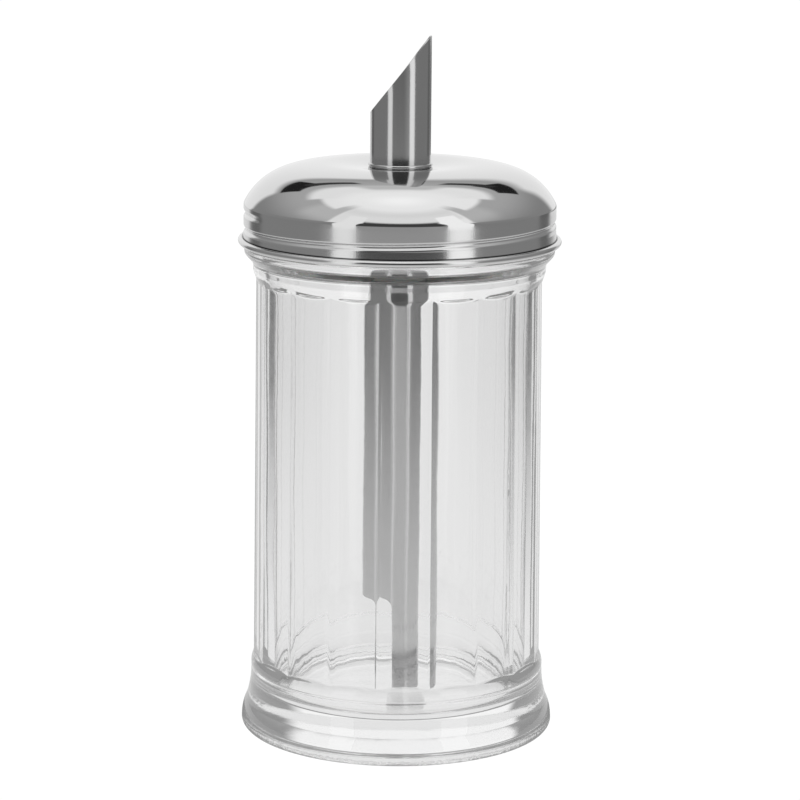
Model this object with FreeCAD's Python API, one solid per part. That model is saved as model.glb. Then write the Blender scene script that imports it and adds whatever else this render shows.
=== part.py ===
import FreeCAD, Part
import math
import os
from FreeCAD import Vector

# A glass sugar dispenser: a pressed jar with eighteen flat panels, a spun stainless screw lid, and
# a stainless pour tube that reaches from above the lid down to the floor of the jar.
# Millimetres, +Z up. The origin is the centre of the jar's foot, on the table. The tip of the
# spout points to +X.

# ---- driving dimensions ----
# jar
JAR_FLOOR = 9.1         # inside floor above the table
FLOOR_CORNER = 5.0      # rounding between the floor and the bore
BORE_R = 32.2           # inside radius of the jar
MOUTH_Z = 136.0         # top of the glass
MOUTH_ROUND = 1.6       # rounding of the bore at the mouth
NECK_R = 36.3           # outside of the neck, under the thread
PANELS = 18
PANEL_TURN = 7.1        # plan angle of the first ridge, in degrees from +X
PANEL_LOW_Z = 16.0      # the panelled prism runs from here ...
PANEL_TOP_Z = 116.0     # ... to here
RIDGE_LOW_R = 36.25     # radius over the ridges at its lower end
RIDGE_TOP_R = 35.5      # and at its upper end
RIDGE_ROUND = 2.4       # rounding radius of a ridge
FOOT_R = 39.24          # widest radius of the foot
UNDER_Z = 2.2           # flat underside, inside the ring that the jar stands on
STAND_IN_R = 36.0       # the flat ring that the jar stands on
STAND_OUT_R = 37.6
HEEL_R = 38.2           # top of the heel, where the concave flare starts
HEEL_Z = 6.8
WAIST_R = 36.85         # narrow part of the foot, under the panels
LEDGE_Z = 19.8          # the sloped ledge under the panels is inside the prism from here up
COLLAR_R = 36.27        # plain collar above the panels
COLLAR_LOW_Z = 112.2
BEAD_R = 38.45          # glass bead under the lid
BEAD_Z = 121.4

# screw thread, right-hand
THREAD_PITCH = 4.0
LID_THREAD_FRONT_Z = 127.7   # height of the lid's rolled groove at -Y
FRONT_DEG = 270.0            # plan angle of -Y
GLASS_CREST_R = 37.9         # outside of the glass thread
GLASS_BAR_R = 0.9            # its section is part of a circle of this radius
GLASS_TURNS = 1.35
GROOVE_DEPTH = 0.45
GROOVE_BAR_R = 1.1
GROOVE_BEFORE = 0.5          # turns of the rolled groove before and after -Y
GROOVE_AFTER = 0.85

# lid
SHEET = 0.45            # sheet thickness
CROWN_R = 38.99         # the dome is a flat-topped curve that would reach this radius ...
CROWN_Z = 131.92        # ... at this height
CROWN_H = 11.06         # rise of the dome above it
CROWN_SHOULDER = 5.943  # a larger power gives a flatter top and a tighter shoulder
CROWN_FALL = 0.8306
CROWN_END_R = 38.45     # the dome stops here, in a crease over the upright skirt
DISH_R = 20.0           # the dome sinks a little round the tube, inside this radius
DISH = 1.2
SKIRT_R = 38.6          # outside of the skirt
SKIRT_TOP_Z = 132.95    # middle of the rounded crease, and top of the straight inside
CREASE_LOW_Z = 132.6
CURL_R = 0.85           # section radius of the curled wire edge
RIM_R = 40.0            # outside radius over the curl
CURL_Z = 123.8
HOLE_R = 7.55           # hole in the dome

# pour tube
TUBE_R = 7.5
TUBE_WALL = 0.5
TUBE_END_Z = 10.1       # lower end, just above the floor
TIP_Z = 174.25          # tip of the slanted spout, on the +X side
SLANT_LOW_Z = 155.35    # low side of the slant, on the -X side
NOTCH_Z = 33.5          # top of the notch that lets the sugar in, on the -X side
NOTCH_X = -1.95
NOTCH_ROUND = 2.2
STOP_BEAD_R = 0.45      # section radius of the bead that rests on the dome

# pieces under the dome
GASKET = 1.8
GASKET_IN_R = 30.4
GASKET_OUT_R = 34.2
GASKET_EDGE = 0.25
LIFT = 0.02             # clearance that keeps two resting faces apart
WASHER = 1.2
WASHER_R = 12.5
WASHER_GAP = 0.25       # between the washer and the sheet above it
LOCK_R = 11.0
LOCK_PLATE = 0.6
LOCK_HUB = 2.0


# ---- helpers ----
def rz(r, z):
    """A point of an outline in the X-Z half plane."""
    return Vector(r, 0, z)


def line(a, b):
    return Part.makeLine(a, b)


def arc(a, middle, b):
    return Part.Arc(a, middle, b).toShape()


def curve(points):
    spline = Part.BSplineCurve()
    spline.interpolate(points)
    return spline.toShape()


def turned(edges):
    """Solid of revolution about Z from a closed outline of edges."""
    face = Part.Face(Part.Wire(Part.__sortEdges__(edges)))
    solid = face.revolve(Vector(0, 0, 0), Vector(0, 0, 1), 360)
    return solid if isinstance(solid, Part.Solid) else Part.Solid(solid.Shells[0])


def ring(inner, outer, low, high):
    """Flat ring with a square section."""
    tube = Part.makeCylinder(outer, high - low, Vector(0, 0, low))
    return tube.cut(Part.makeCylinder(inner, high - low, Vector(0, 0, low)))


def helical_bar(path_r, bar_r, start_deg, start_z, turns):
    """Round bar wound as a right-hand screw of the thread's pitch."""
    helix = Part.makeHelix(THREAD_PITCH, THREAD_PITCH * turns, path_r)
    section = Part.Wire(Part.makeCircle(bar_r, Vector(path_r, 0, 0), Vector(0, 1, 0)))
    sweep = Part.BRepOffsetAPI.MakePipeShell(Part.Wire(helix.Edges))
    sweep.setFrenetMode(True)
    sweep.add(section)
    sweep.build()
    sweep.makeSolid()
    bar = sweep.shape()
    bar.rotate(Vector(0, 0, 0), Vector(0, 0, 1), start_deg)
    bar.translate(Vector(0, 0, start_z))
    return bar


# ---- glass jar ----
def panel_wire(ridge_r, z):
    """Eighteen flats joined by rounded ridges, at one height."""
    half = math.pi / PANELS
    apothem = ridge_r * math.cos(half)
    setback = RIDGE_ROUND * math.tan(half)
    edges = []
    for i in range(PANELS):
        mid = math.radians(PANEL_TURN) + (2 * i + 1) * half
        out = Vector(math.cos(mid), math.sin(mid), 0)
        along = Vector(-math.sin(mid), math.cos(mid), 0)
        reach = apothem * math.tan(half) - setback
        start = out * apothem - along * reach + Vector(0, 0, z)
        end = out * apothem + along * reach + Vector(0, 0, z)
        ridge = mid + half
        nose = apothem / math.cos(half) - RIDGE_ROUND * (1 / math.cos(half) - 1)
        top = Vector(nose * math.cos(ridge), nose * math.sin(ridge), z)
        nxt = mid + 2 * half
        out2 = Vector(math.cos(nxt), math.sin(nxt), 0)
        along2 = Vector(-math.sin(nxt), math.cos(nxt), 0)
        start2 = out2 * apothem - along2 * reach + Vector(0, 0, z)
        edges += [line(start, end), arc(end, top, start2)]
    return Part.Wire(edges)


def panelled_body():
    low = panel_wire(RIDGE_LOW_R, PANEL_LOW_Z)
    high = panel_wire(RIDGE_TOP_R, PANEL_TOP_Z)
    return Part.makeLoft([low, high], True, True)


def foot():
    """Foot with a rounded heel, a concave flare and the sloped ledge under the panels."""
    inside = BORE_R - 6
    edges = [
        line(rz(0, UNDER_Z), rz(34.0, UNDER_Z)),
        arc(rz(34.0, UNDER_Z), rz(35.2, 1.7), rz(35.7, 0.5)),
        line(rz(35.7, 0.5), rz(STAND_IN_R, 0)),
        line(rz(STAND_IN_R, 0), rz(STAND_OUT_R, 0)),
        arc(rz(STAND_OUT_R, 0), rz(38.8, 0.6), rz(FOOT_R, 2.2)),
        arc(rz(FOOT_R, 2.2), rz(FOOT_R - 0.16, 4.0), rz(HEEL_R, HEEL_Z)),
        line(rz(HEEL_R, HEEL_Z), rz(HEEL_R - 0.1, HEEL_Z + 0.2)),
        arc(rz(HEEL_R - 0.1, HEEL_Z + 0.2), rz(37.28, 10.3), rz(WAIST_R, 15.0)),
        line(rz(WAIST_R, 15.0), rz(WAIST_R, 16.3)),
        arc(rz(WAIST_R, 16.3), rz(36.7, 17.4), rz(36.3, 18.4)),
        line(rz(36.3, 18.4), rz(35.0, LEDGE_Z)),
        line(rz(35.0, LEDGE_Z), rz(inside, LEDGE_Z)),
        line(rz(inside, LEDGE_Z), rz(0, LEDGE_Z)),
        line(rz(0, LEDGE_Z), rz(0, UNDER_Z)),
    ]
    return turned(edges)


def neck():
    """Collar over the panels, the bead under the lid, the neck and the rounded mouth."""
    low_r = RIDGE_TOP_R - 1.2
    edges = [
        line(rz(0, COLLAR_LOW_Z), rz(low_r, COLLAR_LOW_Z)),
        line(rz(low_r, COLLAR_LOW_Z), rz(35.5, 114.3)),
        arc(rz(35.5, 114.3), rz(35.95, 115.5), rz(COLLAR_R, 116.6)),
        line(rz(COLLAR_R, 116.6), rz(COLLAR_R, 117.6)),
        arc(rz(COLLAR_R, 117.6), rz(36.55, 118.6), rz(37.2, 119.45)),
        line(rz(37.2, 119.45), rz(BEAD_R - 0.35, BEAD_Z - 0.95)),
        arc(rz(BEAD_R - 0.35, BEAD_Z - 0.95), rz(BEAD_R, BEAD_Z), rz(BEAD_R - 0.35, BEAD_Z + 0.95)),
        line(rz(BEAD_R - 0.35, BEAD_Z + 0.95), rz(NECK_R, BEAD_Z + 1.2)),
        line(rz(NECK_R, BEAD_Z + 1.2), rz(NECK_R, MOUTH_Z - 2.6)),
        arc(rz(NECK_R, MOUTH_Z - 2.6), rz(NECK_R - 0.7, MOUTH_Z - 0.8), rz(NECK_R - 2.3, MOUTH_Z)),
        line(rz(NECK_R - 2.3, MOUTH_Z), rz(0, MOUTH_Z)),
        line(rz(0, MOUTH_Z), rz(0, COLLAR_LOW_Z)),
    ]
    return turned(edges)


def quarter(centre_r, centre_z, radius, side):
    """Middle point of a quarter circle; side gives its direction as two signs."""
    reach = radius * math.sqrt(0.5)
    return rz(centre_r + side[0] * reach, centre_z + side[1] * reach)


def cavity():
    """Inside of the jar: straight wall, rounded floor corner, rounded mouth."""
    corner_r = BORE_R - FLOOR_CORNER
    corner_z = JAR_FLOOR + FLOOR_CORNER
    lip_r = BORE_R + MOUTH_ROUND
    lip_z = MOUTH_Z - MOUTH_ROUND
    above = MOUTH_Z + 3
    edges = [
        line(rz(0, JAR_FLOOR), rz(corner_r, JAR_FLOOR)),
        arc(rz(corner_r, JAR_FLOOR), quarter(corner_r, corner_z, FLOOR_CORNER, (1, -1)),
            rz(BORE_R, corner_z)),
        line(rz(BORE_R, corner_z), rz(BORE_R, lip_z)),
        arc(rz(BORE_R, lip_z), quarter(lip_r, lip_z, MOUTH_ROUND, (-1, 1)), rz(lip_r, MOUTH_Z)),
        line(rz(lip_r, MOUTH_Z), rz(lip_r, above)),
        line(rz(lip_r, above), rz(0, above)),
        line(rz(0, above), rz(0, JAR_FLOOR)),
    ]
    return turned(edges)


def glass_jar():
    body = panelled_body().fuse(foot()).fuse(neck())
    before = GLASS_TURNS / 2
    front_z = LID_THREAD_FRONT_Z + THREAD_PITCH / 2
    thread = helical_bar(GLASS_CREST_R - GLASS_BAR_R, GLASS_BAR_R, FRONT_DEG - 360 * before,
                         front_z - THREAD_PITCH * before, GLASS_TURNS)
    return body.cut(cavity()).fuse(thread).removeSplitter()


# ---- lid ----
def crown_z(r):
    """Height of the dome's outside at radius r."""
    rise = CROWN_H * (1 - (r / CROWN_R) ** CROWN_SHOULDER) ** CROWN_FALL
    sink = DISH * (1 - (r / DISH_R) ** 2) ** 2 if r < DISH_R else 0.0
    return CROWN_Z + rise - sink


def crown_points(inset):
    """Points of the dome's outside, or of its inside when inset is the sheet thickness."""
    points = []
    steps = 26
    step = 1e-4
    for i in range(steps + 1):
        share = math.sin(0.5 * math.pi * i / steps)
        r = HOLE_R + (CROWN_END_R - HOLE_R) * share
        slope = (crown_z(r + step) - crown_z(r - step)) / (2 * step)
        size = math.hypot(1, slope)
        points.append(rz(r + inset * slope / size, crown_z(r) - inset / size))
    return points


def lid_blank():
    """Dome, crease, upright skirt and curled edge, before the thread is rolled."""
    outside = crown_points(0)
    inside = crown_points(SHEET)
    wall = SKIRT_R - SHEET
    curl_r = RIM_R - CURL_R
    fold_r = SKIRT_R - curl_r
    fold = rz(SKIRT_R, CURL_Z + math.sqrt(CURL_R ** 2 - fold_r ** 2))
    top_in = rz(wall, SKIRT_TOP_Z)
    curl_end = quarter(curl_r, CURL_Z, CURL_R, (-1, -1))
    wall_low = rz(wall, CURL_Z - 0.1)
    edges = [
        curve(outside),
        line(outside[0], inside[0]),
        curve(inside),
        arc(outside[-1], rz(SKIRT_R - 0.04, SKIRT_TOP_Z), rz(SKIRT_R, CREASE_LOW_Z)),
        line(rz(SKIRT_R, CREASE_LOW_Z), fold),
        arc(fold, rz(curl_r + CURL_R, CURL_Z), curl_end),
        line(curl_end, wall_low),
        line(wall_low, top_in),
        line(top_in, inside[-1]),
    ]
    return turned(edges)


def lid_shell():
    start_deg = FRONT_DEG - 360 * GROOVE_BEFORE
    start_z = LID_THREAD_FRONT_Z - THREAD_PITCH * GROOVE_BEFORE
    turns = GROOVE_BEFORE + GROOVE_AFTER
    path_r = SKIRT_R - GROOVE_DEPTH + GROOVE_BAR_R
    groove = helical_bar(path_r, GROOVE_BAR_R, start_deg, start_z, turns)
    bead = helical_bar(path_r - SHEET, GROOVE_BAR_R, start_deg, start_z, turns)
    inner_bead = bead.common(ring(30, SKIRT_R - 0.1, CURL_Z - 5, SKIRT_TOP_Z))
    return lid_blank().fuse(inner_bead).cut(groove)


# ---- pour tube and what holds it ----
def spout_cutter():
    """Everything above the slanted end of the tube."""
    far = TUBE_R + 4
    slope = (TIP_Z - SLANT_LOW_Z) / (2 * TUBE_R)
    low = Vector(-far, -far, SLANT_LOW_Z - (far - TUBE_R) * slope)
    high = Vector(far, -far, TIP_Z + (far - TUBE_R) * slope)
    above = TIP_Z + 60
    outline = [low, high, Vector(far, -far, above), Vector(-far, -far, above), low]
    return Part.Face(Part.makePolygon(outline)).extrude(Vector(0, 2 * far, 0))


def notch_cutter():
    """Box with one rounded corner that opens the lower end of the tube on the -X side."""
    far = TUBE_R + 4
    box = Part.makeBox(far + NOTCH_X, 2 * far, NOTCH_Z, Vector(-far, -far, 0))
    corner = [e for e in box.Edges
              if all(abs(v.X - NOTCH_X) < 1e-6 and abs(v.Z - NOTCH_Z) < 1e-6 for v in e.Vertexes)]
    return box.makeFillet(NOTCH_ROUND, corner)


def pour_tube():
    tube = ring(TUBE_R - TUBE_WALL, TUBE_R, TUBE_END_Z, TIP_Z + 5)
    bead_z = crown_z(HOLE_R) + STOP_BEAD_R + 0.07
    bead = Part.makeTorus(TUBE_R + 0.05, STOP_BEAD_R, Vector(0, 0, bead_z))
    bead = bead.cut(Part.makeCylinder(TUBE_R - 0.2, 5, Vector(0, 0, bead_z - 2)))
    return tube.fuse(bead).cut(spout_cutter()).cut(notch_cutter())


def washer_top():
    return crown_z(HOLE_R) - SHEET - WASHER_GAP


def tube_washer():
    return ring(TUBE_R + 0.05, WASHER_R, washer_top() - WASHER, washer_top())


def tube_lock_ring():
    """Push-on ring with a rolled hub that grips the tube."""
    top = washer_top() - WASHER - 0.05
    plate_low = top - LOCK_PLATE
    disc = ring(TUBE_R, LOCK_R, plate_low, top)
    return disc.fuse(ring(TUBE_R, TUBE_R + 0.6, plate_low - LOCK_HUB, plate_low))


def lid_gasket():
    low = MOUTH_Z + LIFT
    ring_solid = ring(GASKET_IN_R, GASKET_OUT_R, low, low + GASKET)
    rims = [e for e in ring_solid.Edges if e.Closed]
    return ring_solid.makeChamfer(GASKET_EDGE, rims)


def main():
    os.makedirs("parts", exist_ok=True)
    nodes = {
        "glass_jar": glass_jar(),
        "lid_shell": lid_shell(),
        "pour_tube": pour_tube(),
        "tube_washer": tube_washer(),
        "tube_lock_ring": tube_lock_ring(),
        "lid_gasket": lid_gasket(),
    }
    for name, shape in nodes.items():
        solid = shape.Solids[0] if len(shape.Solids) == 1 else shape
        box = solid.BoundBox
        print(name, len(shape.Solids), "solid, volume %.1f cm3" % (solid.Volume / 1000),
              "box %.1f..%.1f %.1f..%.1f %.1f..%.1f" % (box.XMin, box.XMax, box.YMin, box.YMax,
                                                       box.ZMin, box.ZMax), solid.isValid())
        solid.exportStep("parts/%s.step" % name)


main()
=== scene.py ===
# %% [markdown]
# A glass sugar dispenser, built round its CAD frame
#
# The real object is a pressed glass jar with eighteen flat panels, a spun stainless screw lid
# and a stainless pour tube with a slant-cut spout. The frame that is loaded here carries the
# true sizes and the joints: the lid unscrews and rises with its thread. This script gives each
# piece a finer mesh where the frame's facets would show in glass or polished steel, and a
# finish that is worked out from how the real surface was made.

# %% Load the frame
import math

import bpy
import bmesh
from mathutils import Matrix, Vector


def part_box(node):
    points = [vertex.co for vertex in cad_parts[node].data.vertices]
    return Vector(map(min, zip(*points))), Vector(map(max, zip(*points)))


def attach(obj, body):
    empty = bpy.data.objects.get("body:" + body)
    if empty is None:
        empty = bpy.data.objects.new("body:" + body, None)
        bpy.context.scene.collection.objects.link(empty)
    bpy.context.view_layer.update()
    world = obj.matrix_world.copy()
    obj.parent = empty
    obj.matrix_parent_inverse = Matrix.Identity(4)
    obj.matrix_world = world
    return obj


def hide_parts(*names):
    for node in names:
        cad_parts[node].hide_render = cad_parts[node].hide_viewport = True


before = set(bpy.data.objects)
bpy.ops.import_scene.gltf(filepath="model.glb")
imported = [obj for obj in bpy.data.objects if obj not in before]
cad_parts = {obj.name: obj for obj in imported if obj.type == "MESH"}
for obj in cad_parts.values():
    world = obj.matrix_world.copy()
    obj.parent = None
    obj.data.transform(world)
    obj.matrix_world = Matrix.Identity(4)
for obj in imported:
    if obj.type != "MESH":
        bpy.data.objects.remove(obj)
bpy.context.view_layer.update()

# %% [markdown]
# Sizes. Everything in the frame is in metres, but tableware is drawn in millimetres, so the
# outlines below are written in millimetres and turned into metres once, when a mesh is made.
# The heights that several pieces share are read from the frame's own boxes.

# %% Shared sizes
MM = 0.001


def box_mm(node):
    """Lowest and highest corner of a CAD piece, in millimetres."""
    low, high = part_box(node)
    return [c / MM for c in low], [c / MM for c in high]


_, jar_high = box_mm("glass_jar")
_, lid_high = box_mm("lid_shell")
tube_low, tube_high = box_mm("pour_tube")
MOUTH_Z = jar_high[2]
CURL_OUT_R = lid_high[0]
TUBE_END_Z = tube_low[2]
TIP_Z = tube_high[2]
TUBE_R = 7.5
PITCH = 4.0
LID_GROOVE_FRONT_Z = 127.7
FRONT_DEG = 270  # plan angle of -Y, where a thread's height is given
print("mouth of the jar at", round(MOUTH_Z, 2), "mm; spout tip at", round(TIP_Z, 2), "mm")

# %% [markdown]
# Outlines. Both the jar and the lid are drawn the way a mould maker or a spinner draws them, as
# a half section of straight runs and arcs. An arc could be a list of typed points, but three
# points that it passes through say the same thing exactly, and the number of steps can change
# without drawing it again.

# %% Straight runs and arcs
def run(a, b, steps):
    """Points from a towards b, without b."""
    return [(a[0] + (b[0] - a[0]) * i / steps, a[1] + (b[1] - a[1]) * i / steps) for i in range(steps)]


def arc(a, middle, b, steps):
    """Points on the circle through a, middle and b, from a towards b, without b."""
    ax, ay, bx, by, cx, cy = *a, *middle, *b
    d = 2 * (ax * (by - cy) + bx * (cy - ay) + cx * (ay - by))
    if abs(d) < 1e-9:
        return run(a, b, steps)
    sa, sb, sc = ax * ax + ay * ay, bx * bx + by * by, cx * cx + cy * cy
    ux = (sa * (by - cy) + sb * (cy - ay) + sc * (ay - by)) / d
    uy = (sa * (cx - bx) + sb * (ax - cx) + sc * (bx - ax)) / d
    radius = math.hypot(ax - ux, ay - uy)
    start = math.atan2(ay - uy, ax - ux)
    mid = (math.atan2(by - uy, bx - ux) - start) % math.tau
    sweep = (math.atan2(cy - uy, cx - ux) - start) % math.tau
    if mid > sweep:
        sweep -= math.tau
    return [(ux + radius * math.cos(start + sweep * i / steps),
             uy + radius * math.sin(start + sweep * i / steps)) for i in range(steps)]


print("halfway up a quarter circle:", arc((1, 0), (math.sqrt(0.5), math.sqrt(0.5)), (0, 1), 2)[1])

# %% [markdown]
# Turning an outline into a mesh. Blender has a Screw modifier that would turn a curve round an
# axis, but the jar is not quite round: its radius changes with the angle where the panels are,
# and the lid's rolled thread climbs as it goes round. So one function walks the outline at
# every angle and lets a small rule move each point.

# %% A lathe that can follow a rule
def lathe(name, outline, angles, rule=None, closed=False):
    """Mesh from an outline of (radius, height) in mm, turned through the angles in degrees."""
    mesh = bmesh.new()
    columns = []
    for angle in angles:
        c, s = math.cos(math.radians(angle)), math.sin(math.radians(angle))
        column = []
        for i, (r, z) in enumerate(outline):
            if rule:
                r, z = rule(i, r, z, angle)
            column.append(mesh.verts.new((r * c * MM, r * s * MM, z * MM)))
        columns.append(column)
    rows = len(outline)
    for k in range(len(angles)):
        here, there = columns[k], columns[(k + 1) % len(angles)]
        for i in range(rows if closed else rows - 1):
            j = (i + 1) % rows
            mesh.faces.new((here[i], there[i], there[j], here[j]))
    bmesh.ops.remove_doubles(mesh, verts=mesh.verts, dist=1e-7)
    bmesh.ops.recalc_face_normals(mesh, faces=mesh.faces)
    for face in mesh.faces:
        face.smooth = True
    data = bpy.data.meshes.new(name)
    mesh.to_mesh(data)
    mesh.free()
    piece = bpy.data.objects.new(name, data)
    bpy.context.scene.collection.objects.link(piece)
    print(name, len(data.vertices), "points,", len(data.polygons), "faces")
    return piece


# %% [markdown]
# The jar's panels. A pressed jar like this comes from a mould whose cavity has eighteen flats,
# with the ridges between them just eased. A flat at distance a from the axis is a / cos(angle)
# away at an angle from its middle, and the ridge is a small circle tangent to two flats, so
# both have a formula and need no modelling by hand.

# %% Radius of the panelled wall
PANELS = 18
FIRST_RIDGE_DEG = 7.1
RIDGE_ROUND = 2.4
PANEL_LOW_Z, PANEL_TOP_Z = 16.0, 116.0
RIDGE_LOW_R, RIDGE_TOP_R = 36.25, 35.5
HALF_PANEL = 180 / PANELS


def panel_radius(angle, z):
    """Radius of the panelled wall at a plan angle in degrees and a height in mm."""
    share = (z - PANEL_LOW_Z) / (PANEL_TOP_Z - PANEL_LOW_Z)
    ridge_r = RIDGE_LOW_R + (RIDGE_TOP_R - RIDGE_LOW_R) * share
    half = math.radians(HALF_PANEL)
    flat = ridge_r * math.cos(half)
    from_ridge = (angle - FIRST_RIDGE_DEG + HALF_PANEL) % (2 * HALF_PANEL) - HALF_PANEL
    off = abs(math.radians(from_ridge))
    centre = (flat - RIDGE_ROUND) / math.cos(half)
    tangent = math.atan2(RIDGE_ROUND * math.sin(half), centre + RIDGE_ROUND * math.cos(half))
    if off < tangent:
        return centre * math.cos(off) + math.sqrt(RIDGE_ROUND ** 2 - (centre * math.sin(off)) ** 2)
    return flat / math.cos(half - off)


def jar_angles():
    """Columns that crowd together at each ridge and spread out over each flat."""
    steps = (0.0, 0.2, 0.4, 0.6, 0.8, 1.3, 2.2, 3.6, 5.2, 7.0, 8.6)
    offsets = sorted({-s for s in steps} | set(steps) | {HALF_PANEL})
    return [FIRST_RIDGE_DEG + 2 * HALF_PANEL * k + o for k in range(PANELS) for o in offsets]


HALF_WAY_UP = (PANEL_LOW_Z + PANEL_TOP_Z) / 2
on_ridge = panel_radius(FIRST_RIDGE_DEG, HALF_WAY_UP)
on_flat = panel_radius(FIRST_RIDGE_DEG + HALF_PANEL, HALF_WAY_UP)
print("a ridge stands", round(on_ridge - on_flat, 2), "mm proud of the middle of a flat")

# %% [markdown]
# The jar's section. It starts under the middle of the foot, goes out over the standing ring and
# the heel, up the flared foot, the panelled wall, the collar and the threaded neck, over the
# rounded lip, and down the plain round inside to the thick floor. Where the foot's ledge and the
# collar run into the panels the larger radius wins, with a little easing, as hot glass does not
# fill a sharp mould corner.

# %% Foot of the jar in section
UNDER_Z = 2.2
STAND_IN_R, STAND_OUT_R = 36.0, 37.6
FOOT_R = 39.24
HEEL_R, HEEL_Z = 38.2, 6.8
FLARE_R, FLARE_Z = 38.1, 7.0
WAIST_R, WAIST_LOW_Z, WAIST_TOP_Z = 36.85, 15.0, 16.3
LEDGE_R, LEDGE_LOW_Z, LEDGE_TOP_Z = 36.3, 18.4, 19.8
ring_in, ring_out = (STAND_IN_R, 0), (STAND_OUT_R, 0)
widest = (FOOT_R, UNDER_Z)

underside = (run((0, UNDER_Z), (34.0, UNDER_Z), 12) + arc((34.0, UNDER_Z), (35.2, 1.7), (35.7, 0.5), 12)
             + run((35.7, 0.5), ring_in, 3) + run(ring_in, ring_out, 6))
heel = (arc(ring_out, (38.8, 0.6), widest, 14) + arc(widest, (39.08, 4.0), (HEEL_R, HEEL_Z), 16)
        + run((HEEL_R, HEEL_Z), (FLARE_R, FLARE_Z), 3))
flare = arc((FLARE_R, FLARE_Z), (37.28, 10.3), (WAIST_R, WAIST_LOW_Z), 24)
ledge = (run((WAIST_R, WAIST_LOW_Z), (WAIST_R, WAIST_TOP_Z), 5)
         + arc((WAIST_R, WAIST_TOP_Z), (36.7, 17.4), (LEDGE_R, LEDGE_LOW_Z), 10)
         + run((LEDGE_R, LEDGE_LOW_Z), (35.0, LEDGE_TOP_Z), 16))
print("foot:", len(underside + heel + flare + ledge), "points")

# %% [markdown]
# Above the foot the section has only three things to say: a straight stretch well inside the
# panels, where the panel rule takes over; the plain collar and the bead that the lid comes down
# to; and the neck. The height of the mouth is the frame's, so the neck always reaches it.

# %% Wall, collar, bead and neck in section
BEHIND_PANELS_R = 30
COLLAR_R, COLLAR_LOW_Z, COLLAR_TOP_Z = 36.27, 112.2, 117.6
BEAD_R, BEAD_Z = 38.45, 121.4
NECK_R, NECK_LOW_Z = 36.3, 122.6
BORE_R = 32.2
OUTER_ROUND, INNER_ROUND = 2.6, 1.6
LIP_OUT_R, LIP_IN_R = 34.0, 33.8

wall = run((BEHIND_PANELS_R, LEDGE_TOP_Z), (BEHIND_PANELS_R, COLLAR_LOW_Z), 60)
collar = (run((34.3, COLLAR_LOW_Z), (35.5, 114.3), 14)
          + arc((35.5, 114.3), (35.95, 115.5), (COLLAR_R, 116.6), 10)
          + run((COLLAR_R, 116.6), (COLLAR_R, COLLAR_TOP_Z), 4))
bead = (arc((COLLAR_R, COLLAR_TOP_Z), (36.55, 118.6), (37.2, 119.45), 9)
        + run((37.2, 119.45), (38.1, 120.45), 5)
        + arc((38.1, 120.45), (BEAD_R, BEAD_Z), (38.1, 122.35), 10)
        + run((38.1, 122.35), (NECK_R, NECK_LOW_Z), 4))
neck = run((NECK_R, NECK_LOW_Z), (NECK_R, MOUTH_Z - OUTER_ROUND), 70)
lip = (arc((NECK_R, MOUTH_Z - OUTER_ROUND), (NECK_R - 0.7, MOUTH_Z - 0.8), (LIP_OUT_R, MOUTH_Z), 12)
       + run((LIP_OUT_R, MOUTH_Z), (LIP_IN_R, MOUTH_Z), 2)
       + arc((LIP_IN_R, MOUTH_Z), (32.67, MOUTH_Z - 0.47), (BORE_R, MOUTH_Z - INNER_ROUND), 10))
print("wall to lip:", len(wall + collar + bead + neck + lip), "points")

# %% [markdown]
# The inside is what the plunger pressed: a plain round bore and a flat floor. Where the bore
# meets the floor's rounding the glass froze against the plunger first, and a shallow rib is left.

# %% Inside of the jar in section
FLOOR_Z = 9.1
FLOOR_CORNER = 5.0
CHILL_RIB, CHILL_ROWS = 0.14, 10
corner_mid = FLOOR_CORNER * (1 - math.sqrt(0.5))
wall_end_z = FLOOR_Z + FLOOR_CORNER
floor_edge = (BORE_R - FLOOR_CORNER, FLOOR_Z)

inside_wall = run((BORE_R, MOUTH_Z - INNER_ROUND), (BORE_R, wall_end_z + 1.0), 90)
for i in range(CHILL_ROWS):
    rib = CHILL_RIB * math.sin(math.pi * i / CHILL_ROWS) ** 2
    inside_wall.append((BORE_R - rib, wall_end_z + 1.0 - i / CHILL_ROWS))
floor = arc((BORE_R, wall_end_z), (BORE_R - corner_mid, FLOOR_Z + corner_mid), floor_edge, 24)
floor += run(floor_edge, (0, FLOOR_Z), 12) + [(0, FLOOR_Z)]
jar_outline = underside + heel + flare + ledge + wall + collar + bead + neck + lip + inside_wall + floor
print("jar section:", len(jar_outline), "points")

# %% [markdown]
# What is not round on the jar. The outline is a lathe's outline, so each thing that changes with
# the angle is a rule for some of its rows: the panels, the raised thread on the neck, and on the
# inside the slow waves and upright streaks that the plunger leaves. A displacement texture could
# make the waves, but a formula keeps them true in millimetres and in the mesh itself.

# %% Rules for the panels and the thread
PANEL_EASE = 0.35
THREAD_FADE_DEG = 14
first_panel_row = len(underside + heel + flare)
last_panel_row = first_panel_row + len(ledge + wall + collar)
first_neck_row = last_panel_row + len(bead)
last_neck_row = first_neck_row + len(neck)
first_inside_row = last_neck_row + len(lip)
last_inside_row = first_inside_row + len(inside_wall)


def eased_max(a, b, ease):
    """The larger of two radii, rounded where they cross."""
    h = max(ease - abs(a - b), 0) / ease
    return max(a, b) + h * h * ease / 4


def screw_ridge(angle, z, front_z, first_deg, turns, half_width):
    """0 to 1: how much of a screw thread's ridge there is at this place."""
    best = 0.0
    for lap in range(-1, 3):
        along = angle % 360 + 360 * lap
        if not first_deg <= along <= first_deg + 360 * turns:
            continue
        centre = front_z + PITCH * (along - FRONT_DEG) / 360
        off = abs(z - centre) / half_width
        if off < 1:
            end = min(along - first_deg, first_deg + 360 * turns - along) / THREAD_FADE_DEG
            fade = min(end, 1.0)
            best = max(best, (0.5 + 0.5 * math.cos(math.pi * off)) * fade * fade * (3 - 2 * fade))
    return best


print("panels take rows", first_panel_row, "to", last_panel_row)

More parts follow.
